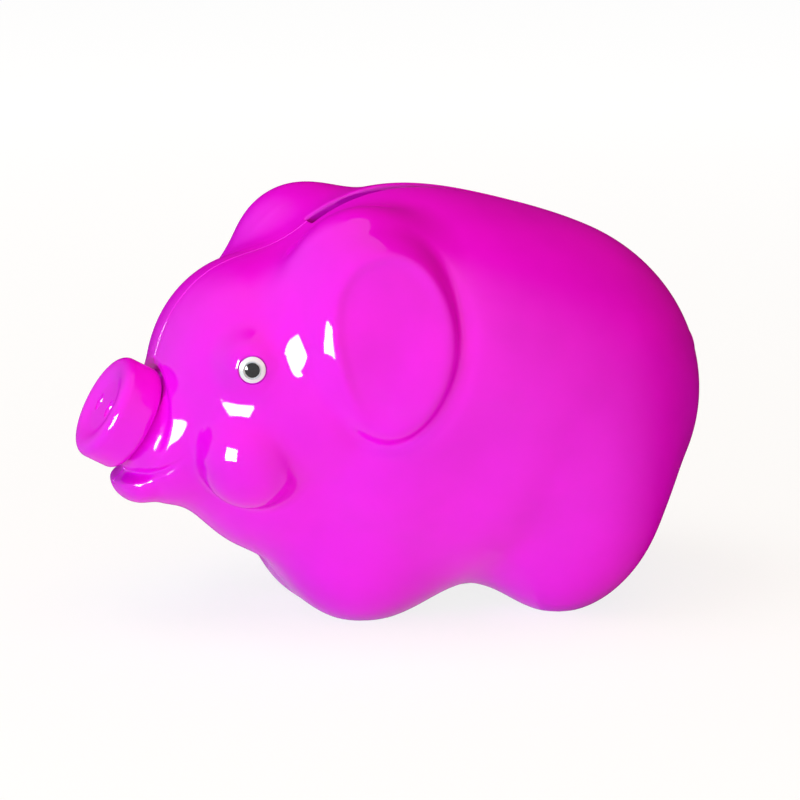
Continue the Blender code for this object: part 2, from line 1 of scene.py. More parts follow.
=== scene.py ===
"""Finish, light and camera of the pig-shaped coin bank, with one fine mesh for each of its pieces.

The pig looks along -X and +Z is up. Its left flank is on the -Y side. All lengths are in metres.
"""

import functools
import math

import bmesh
import bpy
import numpy as np
from mathutils import Matrix, Vector


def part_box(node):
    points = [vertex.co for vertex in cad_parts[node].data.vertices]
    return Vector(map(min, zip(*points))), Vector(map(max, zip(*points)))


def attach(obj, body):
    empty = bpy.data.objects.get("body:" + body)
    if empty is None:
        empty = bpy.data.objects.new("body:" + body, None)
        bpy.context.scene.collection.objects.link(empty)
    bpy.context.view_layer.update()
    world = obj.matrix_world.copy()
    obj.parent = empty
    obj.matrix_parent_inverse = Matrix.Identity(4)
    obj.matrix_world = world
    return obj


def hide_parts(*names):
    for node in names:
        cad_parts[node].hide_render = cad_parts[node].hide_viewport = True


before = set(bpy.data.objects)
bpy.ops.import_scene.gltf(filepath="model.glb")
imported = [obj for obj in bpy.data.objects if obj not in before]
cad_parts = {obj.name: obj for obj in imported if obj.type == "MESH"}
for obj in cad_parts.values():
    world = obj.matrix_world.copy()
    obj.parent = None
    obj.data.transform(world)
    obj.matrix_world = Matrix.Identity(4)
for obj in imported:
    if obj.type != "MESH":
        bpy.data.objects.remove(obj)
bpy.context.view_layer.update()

SIDES = (("left", -1.0), ("right", 1.0))

# Skin: rounded lumps that melt into each other. Each has a centre, radii and the width of its blend.
# A lump whose centre is off the middle plane stands on both sides.
TRUNK_LUMPS = (
    ("rump", (0.0230, 0.0, 0.0400), (0.0378, 0.0370, 0.0348), 0.0),
    ("shoulder", (-0.0010, 0.0, 0.0425), (0.0320, 0.0365, 0.0380), 0.0160),
    ("head", (-0.0270, 0.0, 0.0445), (0.0216, 0.0262, 0.0250), 0.0070),
    ("ear_root", (-0.0130, 0.0175, 0.0645), (0.0142, 0.0110, 0.0152), 0.0070),
    ("muzzle", (-0.0437, 0.0, 0.0345), (0.0122, 0.0133, 0.0120), 0.0060),
    ("chest", (-0.0200, 0.0, 0.0276), (0.0218, 0.0205, 0.0172), 0.0050),
    ("front_leg", (-0.0102, 0.0085, 0.0103), (0.0134, 0.0132, 0.0115), 0.0095),
    ("rear_leg", (0.0265, 0.0170, 0.0117), (0.0121, 0.0110, 0.0125), 0.0080),
    ("haunch", (0.0313, 0.0205, 0.0260), (0.0150, 0.0150, 0.0215), 0.0080),
)
FACE_LUMPS = (
    ("chin", (-0.0512, 0.0, 0.0281), (0.0052, 0.0084, 0.0046), 0.0014),
    ("cheek", (-0.0350, 0.0184, 0.0350), (0.0094, 0.0096, 0.0098), 0.0026),
    ("brow", (-0.0345, 0.0186, 0.0522), (0.0066, 0.0072, 0.0064), 0.0022),
    ("temple", (-0.0172, 0.0170, 0.0515), (0.0165, 0.0150, 0.0185), 0.0030),
    ("cheekbone", (-0.0162, 0.0015, 0.0435), (0.0300, 0.0300, 0.0200), 0.0020),
)
CENTRES = {name: Vector(centre) for name, centre, _, _ in TRUNK_LUMPS + FACE_LUMPS}
RUMP_AT = CENTRES["rump"]
MUZZLE_AT = CENTRES["muzzle"]
BROW_AT = CENTRES["brow"]

# Ear: an egg-shaped flap moulded flat on the flank, with a thick roll along its front and top edge.
# The roll comes in between two cosines of the angle from where it is thickest.
EAR_AT = (-0.0130, 0.0, 0.0570)
EAR_HALF_WIDTH = 0.0124
EAR_HALF_HEIGHT = 0.0180
EAR_TURN = math.radians(3.0)
EAR_EGG_SHARE = 0.18
EAR_RISE = 0.0019
EAR_TOP_RISE = 0.0006
EAR_ROLL_RISE = 0.0007
EAR_ROLL_INSET = 0.0020
EAR_ROLL_WIDTH = 0.0016
EAR_ROLL_FACING = math.radians(50.0)
EAR_ROLL_FADE = (-0.6, 0.5)
EAR_EDGE_BLEND = 0.0034
EAR_FOOT_BLEND = 0.0026
EAR_FRONT_BLEND = 0.0016
EAR_FRONT_REACH = 0.0035
EAR_GROOVE = 0.0016
EAR_GROOVE_WIDTH = 0.0024
EAR_KEEP_OUT = (0.0060, 0.0120)

# Mouth: a groove between muzzle and lower lip, from the middle up to the corners, as (x, z) places.
# It fades out between two shares of the way to the corner.
MOUTH_CORNER = (-0.0475, 0.0330)
MOUTH_MIDDLE = (-0.0560, 0.0296)
MOUTH_DEPTH = 0.0007
MOUTH_WIDTH = 0.0009
MOUTH_FADE_SHARES = (0.8, 1.2)
MOUTH_LAST_SHARE = 1.4

# Waist: a shallow hollow down each flank ahead of the haunch, between two (x, z) places.
WAIST_TOP = (0.0050, 0.0390)
WAIST_FOOT = (-0.0030, 0.0165)
WAIST_DEPTH = 0.0013
WAIST_WIDTH = 0.0075
WAIST_FADE_SHARE = 0.6
WAIST_KEEP_OUT = (0.0080, 0.0200)

# Hollow and parting. The rays that find a surface start on a line from the head to the rump.
WALL = 0.0022
SEAM_GAP = 0.00006
SEAM_ROUND = 0.0004
SEAT_GAP = 0.0003
SPINE_FRONT = (-0.0350, 0.0, 0.0380)
SPINE_REAR = (0.0260, 0.0, 0.0400)

# Reach of the cutters past what they cut, and half the room that the pig stands in.
OVERRUN = 0.0100
SLOT_CUT_FROM = 0.05
SPIGOT_CUT_REACH = 0.004
PLUG_CUT_REACH = 0.03
ROOM = 0.1

# Coin slot.
SLOT_LENGTH = 0.0420
SLOT_WIDTH = 0.0046
SLOT_AT_X = 0.0040
SLOT_ROUND = 0.0008

# Snout drum.
SNOUT_TILT = math.radians(29.5)
SNOUT_RADIUS = 0.0101
SNOUT_LENGTH = 0.0078
SNOUT_SEAT_DEPTH = 0.00339
SNOUT_SEAT_MARGIN = 0.0010
SNOUT_GROOVE = 0.0010
SNOUT_GROOVE_WIDTH = 0.0024
SNOUT_GROOVE_REACH = 0.0090
SNOUT_ROUND = 0.0018
SNOUT_FOOT_ROUND = 0.0016
SNOUT_DISH = 0.0008
SNOUT_DISH_FLAT_SHARE = 0.55
SNOUT_DISH_SIDE_SHARE = 0.45
SNOUT_RIM = 0.0022
SPIGOT_RADIUS = 0.0046
NOSTRIL_APART = 0.0064
NOSTRIL_RADIUS = 0.0011
NOSTRIL_HEIGHT = 0.0034
NOSTRIL_DEPTH = 0.0009

# Eye.
EYE_BEARING = math.radians(-108.0)
EYE_RISE = math.radians(2.0)
EYE_RADIUS = 0.0024
EYE_SEAT_DEPTH = 0.0011
EYE_DOME = 0.0004
EYE_EDGE = 0.0003
EYE_STEM_RADIUS = 0.0010
EYE_STEM_LENGTH = 0.0034
PUPIL_RADIUS = 0.00135
PUPIL_DOME = 0.0003
PUPIL_SINK = 0.0006

# Tail.
TAIL_RISE = math.radians(9.0)
TAIL_ROD = 0.0009
TAIL_LIFT = 0.00115
TAIL_OUTER = 0.0045
TAIL_INNER = 0.0016
TAIL_TURNS = 1.3
TAIL_TAPER_SHARE = 0.55
TAIL_PEG_RADIUS = 0.0011
TAIL_PEG_LENGTH = 0.0036

# Belly stopper. The bead's outline swings by an angle in degrees to both sides of straight out.
PLUG_AT_X = 0.0075
PLUG_HOLE_RADIUS = 0.0133
PLUG_FLANGE_RADIUS = 0.0150
PLUG_FLANGE = 0.0018
PLUG_NECK = 0.0062
PLUG_BEAD = 0.0004
PLUG_BEAD_ANGLE = 80.0
PLUG_WALL = 0.0016
PLUG_GRIP_RADIUS = 0.0085
PLUG_GRIP_DEPTH = 0.0012
PLUG_GRIP_BAR = 0.0022
PLUG_SEAT = 0.0026
PLUG_SEAT_WIDTH = 0.0030

# The skin's corners crowd towards the crest and the belly.
SKIN_RINGS = 320
SKIN_SEGMENTS = 560
CROWD_SHARE = 0.5
CAVITY_RINGS = 60
CAVITY_SEGMENTS = 96
TURN_STEPS = 160
SMOOTH_STEPS = 8
NOSTRIL_SEGMENTS = 48
NOSTRIL_RINGS = 32
EYE_STEPS = 96
TAIL_POINTS = 120
TAIL_BEVEL_STEPS = 8
PEG_STEPS = 48

# Search for a surface: a walk in from outside, then halvings of the stretch round where it ends.
REACH = 0.0820
TRACE_STEPS = 34
WALK_SHARE = 0.8
NEAR_BY = 0.0004
HALVINGS = 12
SLOPE_STEP = 0.00004
TINY = 1e-9

# Welds, axes and shading.
WELD = 0.000002
TAIL_WELD = TAIL_ROD / 100.0
MOSTLY_Y = 0.9
SHARP_ANGLE = math.radians(35.0)
ON_SKIN = 0.00003
FOLLOW_COSINE = 0.5


def lump(field_so_far, points, centre, radii, blend):
    """Melts an ellipsoid, and its mirror image if it is off the middle plane, into the field."""
    for side in (-1.0, 1.0) if centre[1] else (1.0,):
        offset = points - np.array((centre[0], centre[1] * side, centre[2]))
        near = np.linalg.norm(offset / np.array(radii), axis=-1)
        slope = np.linalg.norm(offset / np.array(radii) ** 2, axis=-1)
        distance = near * (near - 1.0) / np.maximum(slope, TINY)
        field_so_far = distance if field_so_far is None else melt(field_so_far, distance, blend)
    return field_so_far


def melt(first, second, width):
    """Union of two fields with a rounded valley of the given width."""
    mix = np.clip(0.5 + 0.5 * (first - second) / width, 0.0, 1.0)
    return first * (1.0 - mix) + second * mix - width * mix * (1.0 - mix)


def ramp(start, end, value):
    """0 at the start and 1 at the end, with a soft change between."""
    share = np.clip((value - start) / (end - start), 0.0, 1.0)
    return share * share * (3.0 - 2.0 * share)


def trunk(points):
    """Distance outside the hollow body, head and legs."""
    field = None
    for _, centre, radii, blend in TRUNK_LUMPS:
        field = lump(field, points, centre, radii, blend)
    return field


def bare_face(points):
    """Distance outside the pig without its ears."""
    field = trunk(points)
    for _, centre, radii, blend in FACE_LUMPS:
        field = lump(field, points, centre, radii, blend)
    return field


def ear(body, points):
    """The body's field with the ear flaps laid on both flanks."""
    across = points[..., 0] - EAR_AT[0]
    along = points[..., 2] - EAR_AT[2]
    u = across * math.cos(EAR_TURN) - along * math.sin(EAR_TURN)
    v = across * math.sin(EAR_TURN) + along * math.cos(EAR_TURN)
    half = EAR_HALF_WIDTH * (1.0 + EAR_EGG_SHARE * v / EAR_HALF_HEIGHT)
    near = np.hypot(u / half, v / EAR_HALF_HEIGHT)
    slope = np.hypot(u / half ** 2, v / EAR_HALF_HEIGHT ** 2)
    outline = near * (near - 1.0) / np.maximum(slope, TINY)
    turn = np.arctan2(v / EAR_HALF_HEIGHT, -u / half)
    facing = ramp(*EAR_ROLL_FADE, np.cos(turn - EAR_ROLL_FACING))
    roll = facing * np.exp(-(((outline + EAR_ROLL_INSET) / EAR_ROLL_WIDTH) ** 2))
    rise = EAR_RISE + EAR_ROLL_RISE * roll + EAR_TOP_RISE * ramp(0.0, EAR_HALF_HEIGHT, v)
    away = 1.0 - ramp(*EAR_KEEP_OUT, np.abs(points[..., 1]))
    pad = -melt(rise - body, -outline, EAR_EDGE_BLEND) + away * EAR_HALF_WIDTH
    groove = EAR_GROOVE * (1.0 - away) * (1.0 - facing) * np.exp(-((outline / EAR_GROOVE_WIDTH) ** 2))
    front = facing * np.exp(-((outline / EAR_FRONT_REACH) ** 2))
    return melt(body + groove, pad, EAR_FOOT_BLEND + EAR_FRONT_BLEND * front)


def mouth(points):
    """Depth of the groove between the muzzle and the lower lip."""
    back = (points[..., 0] - MOUTH_MIDDLE[0]) / (MOUTH_CORNER[0] - MOUTH_MIDDLE[0])
    share = np.clip(back, 0.0, MOUTH_LAST_SHARE)
    height = MOUTH_MIDDLE[1] + (MOUTH_CORNER[1] - MOUTH_MIDDLE[1]) * share ** 2
    fade = 1.0 - ramp(*MOUTH_FADE_SHARES, share)
    return MOUTH_DEPTH * fade * np.exp(-(((points[..., 2] - height) / MOUTH_WIDTH) ** 2))


def waist(points):
    """Depth of the hollow ahead of the haunch."""
    top, foot = np.array(WAIST_TOP), np.array(WAIST_FOOT)
    length = np.linalg.norm(foot - top)
    run = (foot - top) / length
    out = points[..., [0, 2]] - top
    off_line = out[..., 1] * run[0] - out[..., 0] * run[1]
    off_middle = (out * run).sum(axis=-1) / length - 0.5
    outward = ramp(*WAIST_KEEP_OUT, np.abs(points[..., 1]))
    fade = np.exp(-((off_line / WAIST_WIDTH) ** 2) - (off_middle / WAIST_FADE_SHARE) ** 2)
    return WAIST_DEPTH * outward * fade


def snout_groove(points):
    """Depth of the soft groove in the muzzle behind the edge of the snout drum."""
    seat = snout_frame()
    out = points - np.array(seat.translation)
    axis = np.array(seat.col[2][:3])
    along = (out * axis).sum(axis=-1)
    across = np.sqrt(np.maximum((out * out).sum(axis=-1) - along * along, 0.0))
    beside = 1.0 - ramp(0.0, SNOUT_GROOVE_WIDTH, across - SNOUT_RADIUS)
    return SNOUT_GROOVE * beside * ramp(-SNOUT_GROOVE_REACH, 0.0, along)


def worn_edge(distance, size):
    """Depth of a rounded edge of the given size, at a distance from the wall of a cut."""
    near = 1.0 - np.clip(distance / size, 0.0, 1.0)
    return size * (1.0 - np.sqrt(1.0 - near * near))


def skin(points):
    """Distance outside the pig, with rounded edges at the parting and the coin slot."""
    field = ear(bare_face(points), points) + mouth(points) + waist(points)
    high = points[..., 2] > SPINE_REAR[2]
    beside_slot = np.abs(points[..., 1]) - SLOT_WIDTH / 2.0
    past_slot = np.abs(points[..., 0] - SLOT_AT_X) - SLOT_LENGTH / 2.0
    off_slot = np.maximum(beside_slot, past_slot)
    off_seam = np.abs(points[..., 1]) - SEAM_GAP / 2.0
    edges = np.maximum(worn_edge(off_slot, SLOT_ROUND) * high, worn_edge(off_seam, SEAM_ROUND))
    return field + edges + snout_groove(points)


def hollow(points):
    """Distance outside the coin space, one wall inside the trunk."""
    return trunk(points) + WALL


def cast(starts, directions, field):
    """Outermost point of the field's surface along each ray.

    A ray is walked in from outside, and back out where it overshoots.
    """
    starts = np.broadcast_to(starts, directions.shape)
    far = np.full(len(directions), REACH)
    for _ in range(TRACE_STEPS):
        far -= field(starts + directions * far[:, None]) * WALK_SHARE
    inner, outer = far - NEAR_BY, far + NEAR_BY
    for _ in range(HALVINGS):
        middle = (inner + outer) / 2.0
        inside = field(starts + directions * middle[:, None]) < 0.0
        inner = np.where(inside, middle, inner)
        outer = np.where(inside, outer, middle)
    return starts + directions * ((inner + outer) / 2.0)[:, None]


def touch(start, direction, field):
    """Outermost point of the field's surface in one direction from a start."""
    heading = np.array([tuple(Vector(direction).normalized())])
    return Vector(cast(np.array([tuple(start)]), heading, field)[0])


def slopes(points, field):
    """Directions out of the field's surface."""
    shift = np.eye(3) * SLOPE_STEP
    slope = np.stack([field(points + row) - field(points - row) for row in shift], axis=-1)
    return slope / np.linalg.norm(slope, axis=-1, keepdims=True)


def frame_on(axis):
    """Rotation that takes +Z to the axis and keeps local Y level."""
    z = Vector(axis).normalized()
    reference = Vector((0.0, 1.0, 0.0)) if abs(z.y) < MOSTLY_Y else Vector((1.0, 0.0, 0.0))
    x = reference.cross(z).normalized()
    return Matrix((x, z.cross(x), z)).transposed().to_4x4()


@functools.cache
def snout_frame():
    """Place of the snout's seat, with +Z out of the muzzle."""
    axis = Vector((-math.cos(SNOUT_TILT), 0.0, math.sin(SNOUT_TILT)))
    tip = touch(MUZZLE_AT, axis, trunk)
    return Matrix.Translation(tip - axis * SNOUT_SEAT_DEPTH) @ frame_on(axis)


def eye_frame(side):
    """Place of an eye's seat, with +Z out of the brow."""
    level = math.cos(EYE_RISE)
    ahead = math.cos(EYE_BEARING) * level
    axis = Vector((ahead, -side * math.sin(EYE_BEARING) * level, math.sin(EYE_RISE)))
    top = touch((BROW_AT[0], side * BROW_AT[1], BROW_AT[2]), axis, bare_face)
    return Matrix.Translation(top - axis * EYE_SEAT_DEPTH) @ frame_on(axis)


def tail_frame():
    """Place of the tail's root, with +Z out of the rump."""
    axis = Vector((math.cos(TAIL_RISE), 0.0, math.sin(TAIL_RISE)))
    return Matrix.Translation(touch(RUMP_AT, axis, trunk)) @ frame_on(axis)


def plug_face():
    """Height of the stopper's outer face, as its solid has it."""
    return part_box("belly_plug")[0].z


def new_object(name, bm):
    """Object in the scene with the corners and faces that were built for it."""
    mesh = bpy.data.meshes.new(name)
    bm.to_mesh(mesh)
    bm.free()
    made = bpy.data.objects.new(name, mesh)
    bpy.context.scene.collection.objects.link(made)
    return made


def skin_ball(name, field, rings, segments, floor=0.0):
    """Ball with its poles on X, each corner moved out or in to the surface of the field."""
    bm = bmesh.new()
    half_step = Matrix.Rotation(math.pi / segments, 4, "X")
    poles_on_x = Matrix.Rotation(math.pi / 2.0, 4, "Y")
    place = half_step @ poles_on_x
    bmesh.ops.create_uvsphere(bm, u_segments=segments, v_segments=rings, radius=1.0, matrix=place)
    made = new_object(name, bm)
    corners = np.empty(len(made.data.vertices) * 3)
    made.data.vertices.foreach_get("co", corners)
    directions = corners.reshape(-1, 3)
    directions /= np.linalg.norm(directions, axis=1, keepdims=True)
    round_x = np.arctan2(directions[:, 2], directions[:, 1])
    off_axis = np.hypot(directions[:, 1], directions[:, 2])
    round_x += CROWD_SHARE / 2.0 * np.sin(2.0 * round_x)
    directions[:, 1] = off_axis * np.cos(round_x)
    directions[:, 2] = off_axis * np.sin(round_x)
    share = (directions[:, :1] + 1.0) / 2.0
    starts = np.array(SPINE_FRONT) * (1.0 - share) + np.array(SPINE_REAR) * share
    points = cast(starts, directions, field)
    points[:, 2] = np.maximum(points[:, 2], floor)
    made.data.vertices.foreach_set("co", points.ravel())
    made.data.update()
    return made


def box(name, low, high):
    """Box between two opposite corners."""
    bm = bmesh.new()
    bmesh.ops.create_cube(bm, size=1.0)
    size = Vector(high) - Vector(low)
    middle = (Vector(high) + Vector(low)) / 2.0
    for corner in bm.verts:
        corner.co = Vector(a * b for a, b in zip(corner.co, size)) + middle
    return new_object(name, bm)


def rod(name, start, end, radius, steps=TURN_STEPS):
    """Round rod between two points."""
    bm = bmesh.new()
    along = Vector(end) - Vector(start)
    place = Matrix.Translation((Vector(start) + Vector(end)) / 2.0) @ frame_on(along)
    bmesh.ops.create_cone(
        bm, cap_ends=True, segments=steps, radius1=radius, radius2=radius, depth=along.length,
        matrix=place,
    )
    return new_object(name, bm)


def turned(name, profile, place, steps=TURN_STEPS):
    """Profile of (radius, height) corners, spun about its own Z axis."""
    bm = bmesh.new()
    corners = [bm.verts.new((radius, 0.0, height)) for radius, height in profile]
    edges = [bm.edges.new(pair) for pair in zip(corners, corners[1:])]
    bmesh.ops.spin(
        bm, geom=corners + edges, axis=(0, 0, 1), cent=(0, 0, 0), angle=2.0 * math.pi, steps=steps,
        use_merge=True, use_duplicate=False,
    )
    bmesh.ops.remove_doubles(bm, verts=bm.verts, dist=WELD)
    bmesh.ops.recalc_face_normals(bm, faces=bm.faces)
    made = new_object(name, bm)
    made.data.transform(place)
    return made


def arc(centre, radius, start, end, steps=SMOOTH_STEPS):
    """Corners of an arc from one angle in degrees to another, as (radius, height)."""
    points = []
    for step in range(steps + 1):
        angle = math.radians(start + (end - start) * step / steps)
        points.append((centre[0] + radius * math.cos(angle), centre[1] + radius * math.sin(angle)))
    return points


def dome(radius, edge, height, start=0.0, steps=SMOOTH_STEPS * 2):
    """Corners of a dome's outline from a start radius to its edge, as (radius, height)."""
    points = []
    for step in range(steps + 1):
        r = start + (radius - start) * step / steps
        points.append((r, edge + height * math.cos(math.pi / 2.0 * r / radius)))
    return points


def cut(target, tool, operation="DIFFERENCE"):
    """Cuts a tool out of the target, or joins it on, or keeps only what lies inside it."""
    step = target.modifiers.new(tool.name, "BOOLEAN")
    step.operation = operation
    step.solver = "MANIFOLD"
    step.object = tool


def settle(made, tools=()):
    """Turns the modifiers into plain mesh and removes the tools that they used."""
    bpy.context.view_layer.update()
    seen = made.evaluated_get(bpy.context.evaluated_depsgraph_get())
    mesh = bpy.data.meshes.new_from_object(seen)
    made.modifiers.clear()
    made.data = mesh
    for tool in tools:
        bpy.data.objects.remove(tool, do_unlink=True)


def smooth(made):
    """Smooth shading that breaks only at real edges."""
    made.data.shade_smooth()
    made.data.set_sharp_from_angle(angle=SHARP_ANGLE)


def dress(made, node, body, surface):
    """Gives a mesh its material, and its place in the assembly."""
    made.data.materials.clear()
    made.data.materials.append(surface)
    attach(made, body)
    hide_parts(node)


def build_cavity(seat, face):
    """Coin space, kept back from the muzzle wall and from the ring round the belly hole."""
    cavity = skin_ball("cavity", hollow, CAVITY_RINGS, CAVITY_SEGMENTS, WALL)
    stop_start = seat @ Vector((0, 0, -WALL))
    stop_end = seat @ Vector((0, 0, OVERRUN))
    stop = rod("muzzle_stop", stop_start, stop_end, SNOUT_RADIUS + OVERRUN)
    ring_top = face + PLUG_FLANGE + SEAT_GAP + PLUG_SEAT
    ring_radius = PLUG_FLANGE_RADIUS + SEAT_GAP + PLUG_SEAT_WIDTH
    ring = rod("belly_ring", (PLUG_AT_X, 0, -OVERRUN), (PLUG_AT_X, 0, ring_top), ring_radius)
    cut(cavity, stop)
    cut(cavity, ring)
    settle(cavity, (stop, ring))
    return cavity


def shared_cutters(seat, face):
    """Tools for the openings at the parting: coin slot, snout seat, belly hole and tail seat."""
    half = SLOT_WIDTH / 2.0
    slot_low = (SLOT_AT_X - SLOT_LENGTH / 2, -half, SLOT_CUT_FROM)
    slot_high = (SLOT_AT_X + SLOT_LENGTH / 2, half, ROOM)
    slot = box("slot_cut", slot_low, slot_high)

    wide = SNOUT_RADIUS + SNOUT_SEAT_MARGIN
    bore = SPIGOT_RADIUS + SEAT_GAP
    deep = -WALL - SPIGOT_CUT_REACH
    profile = ((0.0, OVERRUN), (wide, OVERRUN), (wide, 0.0), (bore, 0.0), (bore, deep), (0.0, deep))
    snout = turned("snout_cut", profile, seat)

    step = PLUG_FLANGE + SEAT_GAP
    roof = step + PLUG_NECK + OVERRUN
    rim = PLUG_FLANGE_RADIUS + SEAT_GAP
    profile = (
        (0.0, roof), (PLUG_HOLE_RADIUS, roof), (PLUG_HOLE_RADIUS, step),
        (rim, step), (rim, -PLUG_CUT_REACH), (0.0, -PLUG_CUT_REACH),
    )
    plug = turned("plug_cut", profile, Matrix.Translation((PLUG_AT_X, 0.0, face)))

    root = tail_frame()
    peg_start = root @ Vector((0, 0, -TAIL_PEG_LENGTH - OVERRUN))
    peg_end = root @ Vector((0, 0, OVERRUN))
    tail = rod("tail_cut", peg_start, peg_end, TAIL_PEG_RADIUS + SEAT_GAP)
    return [slot, snout, plug, tail]


def eye_cutter(side):
    """Tool for the seat of an eye and of its stem."""
    rim = EYE_RADIUS + SEAT_GAP
    stem = EYE_STEM_RADIUS + SEAT_GAP
    deep = -EYE_STEM_LENGTH - SEAT_GAP
    high = EYE_SEAT_DEPTH + EYE_RADIUS
    profile = ((0.0, high), (rim, high), (rim, 0.0), (stem, 0.0), (stem, deep), (0.0, deep))
    return turned("eye_cut", profile, eye_frame(side))


def even_shading(shell):
    """Takes the skin's shading from the field's slope, so that cuts leave no ripples in the gloss."""
    mesh = shell.data
    points = np.empty(len(mesh.vertices) * 3)
    mesh.vertices.foreach_get("co", points)
    points = points.reshape(-1, 3)
    on_skin = np.abs(skin(points)) < ON_SKIN
    slope = slopes(points, skin)
    loops = np.empty(len(mesh.loops), np.int32)
    mesh.loops.foreach_get("vertex_index", loops)
    total = np.empty(len(mesh.polygons), np.int32)
    mesh.polygons.foreach_get("loop_total", total)
    flat = np.empty(len(mesh.polygons) * 3)
    mesh.polygons.foreach_get("normal", flat)
    flat = np.repeat(flat.reshape(-1, 3), total, axis=0)
    wanted = np.empty(len(mesh.loops) * 3)
    mesh.corner_normals.foreach_get("vector", wanted)
    wanted = wanted.reshape(-1, 3)
    outer = on_skin[loops] & ((flat * slope[loops]).sum(axis=1) > FOLLOW_COSINE)
    wanted[outer] = slope[loops][outer]
    mesh.normals_split_custom_set([tuple(row) for row in wanted])


def build_shells(surface):
    """Both hollow halves of the body, each a half of one skin."""
    seat = snout_frame()
    face = plug_face()
    cavity = build_cavity(seat, face)
    tools = shared_cutters(seat, face)
    outer = skin_ball("outer_skin", skin, SKIN_RINGS, SKIN_SEGMENTS)
    for word, side in SIDES:
        shell = bpy.data.objects.new(f"{word}_shell_skin", outer.data.copy())
        bpy.context.scene.collection.objects.link(shell)
        near, far = sorted((side * SEAM_GAP / 2.0, side * ROOM))
        half_room = box("half_room", (-ROOM, near, 0.0), (ROOM, far, ROOM))
        eye = eye_cutter(side)
        cut(shell, half_room, "INTERSECT")
        for tool in [cavity] + tools + [eye]:
            cut(shell, tool)
        settle(shell, (half_room, eye))
        smooth(shell)
        even_shading(shell)
        dress(shell, f"shell_{word}", "bank", surface)
    for tool in [cavity, outer] + tools:
        bpy.data.objects.remove(tool, do_unlink=True)


def build_snout(surface):
    """Drum with a dished face, rounded edges and nostrils with soft floors."""
    dish = SNOUT_LENGTH - SNOUT_DISH
    back = -WALL - 2.0 * SEAT_GAP
    inner = SNOUT_RADIUS - SNOUT_RIM
    profile = [(0.0, dish)]
    for step in range(1, 2 * SMOOTH_STEPS + 1):
        share = step / (2 * SMOOTH_STEPS)
        radius = inner * (SNOUT_DISH_FLAT_SHARE + SNOUT_DISH_SIDE_SHARE * share)
        profile.append((radius, dish + SNOUT_DISH * share * share * (3.0 - 2.0 * share)))
    profile += arc((SNOUT_RADIUS - SNOUT_ROUND, SNOUT_LENGTH - SNOUT_ROUND), SNOUT_ROUND, 90.0, 0.0)
    foot = SNOUT_FOOT_ROUND
    profile += arc((SNOUT_RADIUS - foot, foot), foot, 0.0, -90.0)
    profile += [(SPIGOT_RADIUS, 0.0), (SPIGOT_RADIUS, back), (0.0, back)]
    seat = snout_frame() @ Matrix.Translation((0.0, 0.0, SEAT_GAP))
    snout = turned("snout_drum", profile, seat)
    holes = [nostril(side, seat) for _, side in SIDES]
    for hole in holes:
        cut(snout, hole)
    settle(snout, holes)
    smooth(snout)
    dress(snout, "snout_cap", "bank", surface)


def nostril(side, seat):
    """Egg-shaped hollow with a soft floor."""
    bm = bmesh.new()
    bmesh.ops.create_uvsphere(bm, u_segments=NOSTRIL_SEGMENTS, v_segments=NOSTRIL_RINGS, radius=1.0)
    size = Matrix.Diagonal((NOSTRIL_HEIGHT / 2.0, NOSTRIL_RADIUS, NOSTRIL_DEPTH, 1.0))
    place = Matrix.Translation((0.0, side * NOSTRIL_APART / 2.0, SNOUT_LENGTH - SNOUT_DISH))
    bm.transform(seat @ place @ size)
    return new_object("nostril", bm)


def build_eye(word, side, white, black):
    """White ring on its stem, and the black pupil set into it."""
    seat = eye_frame(side) @ Matrix.Translation((0.0, 0.0, SEAT_GAP))
    crown = EYE_SEAT_DEPTH - SEAT_GAP + EYE_DOME - EYE_EDGE
    bore = PUPIL_RADIUS + SEAT_GAP
    floor = crown - PUPIL_SINK
    deep = -EYE_STEM_LENGTH + SEAT_GAP
    profile = [(0.0, floor), (bore, floor)]
    profile += dome(EYE_RADIUS, EYE_EDGE, crown, bore)
    profile += [(EYE_RADIUS, 0.0), (EYE_STEM_RADIUS, 0.0), (EYE_STEM_RADIUS, deep), (0.0, deep)]
    ring = turned(f"{word}_eye_ring", profile, seat, EYE_STEPS)
    smooth(ring)
    dress(ring, f"eye_white_{word}", "bank", white)

    base = floor + SEAT_GAP
    rim = EYE_EDGE + crown * math.cos(math.pi / 2.0 * bore / EYE_RADIUS)
    profile = dome(PUPIL_RADIUS, rim, PUPIL_DOME) + [(PUPIL_RADIUS, base), (0.0, base)]
    pupil = turned(f"{word}_pupil", profile, seat, EYE_STEPS)
    smooth(pupil)
    dress(pupil, f"eye_pupil_{word}", "bank", black)


def tail_route(root, share):
    """Places along the curl, a flat spiral laid on the rump."""
    angle = 2.0 * math.pi * TAIL_TURNS * share
    radius = TAIL_INNER + (TAIL_OUTER - TAIL_INNER) * share
    flat = np.stack((radius * np.sin(angle), radius * np.cos(angle), 0.0 * share), axis=-1)
    flat = flat @ np.array(root.to_3x3()).T + np.array(root.translation)
    out = flat - np.array(RUMP_AT)
    out /= np.linalg.norm(out, axis=-1, keepdims=True)
    return cast(np.array(RUMP_AT), out, trunk) + out * TAIL_LIFT


